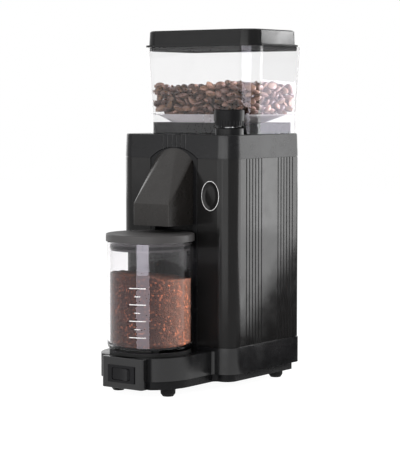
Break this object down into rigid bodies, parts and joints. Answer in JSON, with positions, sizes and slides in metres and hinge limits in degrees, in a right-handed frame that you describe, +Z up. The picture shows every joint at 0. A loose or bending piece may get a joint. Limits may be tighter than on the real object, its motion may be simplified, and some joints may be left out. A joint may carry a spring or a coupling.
{
  "type": "burr coffee grinder",
  "caption": "Electric conical burr coffee grinder: tall black housing, clear lift-off bean hopper, sloping chute over a lidded glass jar, grind knob and rocker switch.",
  "frame": {"origin": "middle of the bounding box in plan, on the surface the feet stand on", "axes": "+Z up, -Y towards the front where the jar stands, +X to the right seen from the front"},
  "size_m": [0.137, 0.2054, 0.342],
  "materials": {
    "black_cast": "satin black enamel on cast metal",
    "black_housing": "semi-matt black with a soft sheen",
    "black_moulding": "fine-grained black moulding",
    "switch_black": "smooth black moulding",
    "rubber": "matt",
    "clear_plastic": "clear moulded plastic",
    "jar_glass": "clear glass",
    "lid_grey": "dull dark grey moulding",
    "steel": "machined",
    "zinc_plate": "bare plated sheet",
    "bronze": "sintered",
    "nylon": "natural nylon",
    "copper": "enamelled copper",
    "magnet": "dark ferrite",
    "board_green": "circuit board"
  },
  "bodies": {
    "frame": {"base_tub": "black_cast", "base_plate": "black_moulding", "rubber_feet": "rubber", "foot_screws": "steel", "jar_pad": "rubber", "switch_panel": "black_cast", "switch_body": "switch_black", "housing_shell": "black_housing", "rear_cover": "black_housing", "rear_cover_screws": "steel", "cord_gland": "rubber", "gland_nut": "black_moulding", "chute_frame": "black_moulding", "chute": "black_moulding", "cap": "black_moulding", "hopper_seat": "black_moulding", "knob_collar": "black_moulding", "burr_chamber": "black_moulding", "chamber_cover": "black_moulding", "burr_shaft_bearing": "bronze", "gearbox_lower_plate": "zinc_plate", "gearbox_upper_plate": "zinc_plate", "gearbox_pillars": "zinc_plate", "motor_can": "zinc_plate", "motor_end_cap": "black_moulding", "motor_magnets": "magnet", "control_board": "board_green", "board_parts": "black_moulding"},
    "rocker": {"switch_rocker": "switch_black"},
    "knob": {"knob": "black_moulding", "knob_spindle": "steel", "knob_pinion": "nylon"},
    "setting_ring": {"setting_ring_gear": "nylon"},
    "upper_burr": {"burr_carrier": "steel", "ring_burr": "steel"},
    "burr_spindle": {"cone_burr": "steel", "burr_sweeper": "black_moulding", "burr_shaft": "steel", "burr_bolt": "steel", "output_gear": "nylon"},
    "layshaft": {"layshaft": "steel", "layshaft_wheel": "nylon", "layshaft_pinion": "steel"},
    "motor_rotor": {"motor_shaft": "steel", "motor_core": "steel", "motor_windings": "copper", "motor_commutator": "copper", "motor_pinion": "steel"},
    "hopper": {"hopper": "clear_plastic", "hopper_funnel": "clear_plastic"},
    "hopper_lid": {"hopper_lid": "black_moulding", "hopper_lid_seal": "rubber"},
    "jar": {"jar": "jar_glass"},
    "jar_lid": {"jar_lid": "lid_grey", "jar_lid_seal": "rubber"}
  },
  "joints": [
    {"name": "switch_tilt", "type": "hinge", "parent": "frame", "child": "rocker", "pos_m": [0, -0.09553, 0.0217], "axis": [0, 0, 1], "range_deg": [0, 16]},
    {"name": "knob_turn", "type": "hinge", "parent": "frame", "child": "knob", "pos_m": [0.05135, -0.00049, 0.25], "axis": [0, 0, 1], "range_deg": [-120, 120]},
    {"name": "setting_ring_turn", "type": "hinge", "parent": "frame", "child": "setting_ring", "pos_m": [0, 0.04447, 0.233], "axis": [0, 0, 1], "range_deg": [-18.3, 18.3]},
    {"name": "burr_height", "type": "slide", "parent": "frame", "child": "upper_burr", "axis": [0, 0, 1], "range_m": [-0.00061, 0.00061]},
    {"name": "burr_spin", "type": "hinge", "parent": "frame", "child": "burr_spindle", "pos_m": [0, 0.04447, 0.2], "axis": [0, 0, 1], "continuous": true},
    {"name": "layshaft_spin", "type": "hinge", "parent": "frame", "child": "layshaft", "pos_m": [-0.03, 0.04447, 0.15], "axis": [0, 0, 1], "continuous": true},
    {"name": "motor_spin", "type": "hinge", "parent": "frame", "child": "motor_rotor", "pos_m": [0, 0.04447, 0.09], "axis": [0, 0, 1], "continuous": true},
    {"name": "hopper_lift", "type": "slide", "parent": "frame", "child": "hopper", "axis": [0, 0, 1], "range_m": [0, 0.06]},
    {"name": "hopper_lid_lift", "type": "slide", "parent": "hopper", "child": "hopper_lid", "axis": [0, 0, 1], "range_m": [0, 0.04]},
    {"name": "jar_slide", "type": "slide", "parent": "frame", "child": "jar", "axis": [0, -1, 0], "range_m": [0, 0.15]},
    {"name": "jar_lid_lift", "type": "slide", "parent": "jar", "child": "jar_lid", "axis": [0, 0, 1], "range_m": [0, 0.006]}
  ],
  "couplings": [
    {"joint": "knob_turn", "follows": "burr_height", "rad_per_m": 3447},
    {"joint": "setting_ring_turn", "follows": "burr_height", "rad_per_m": -523.6},
    {"joint": "layshaft_spin", "follows": "burr_spin", "ratio": -2},
    {"joint": "motor_spin", "follows": "burr_spin", "ratio": 6}
  ]
}
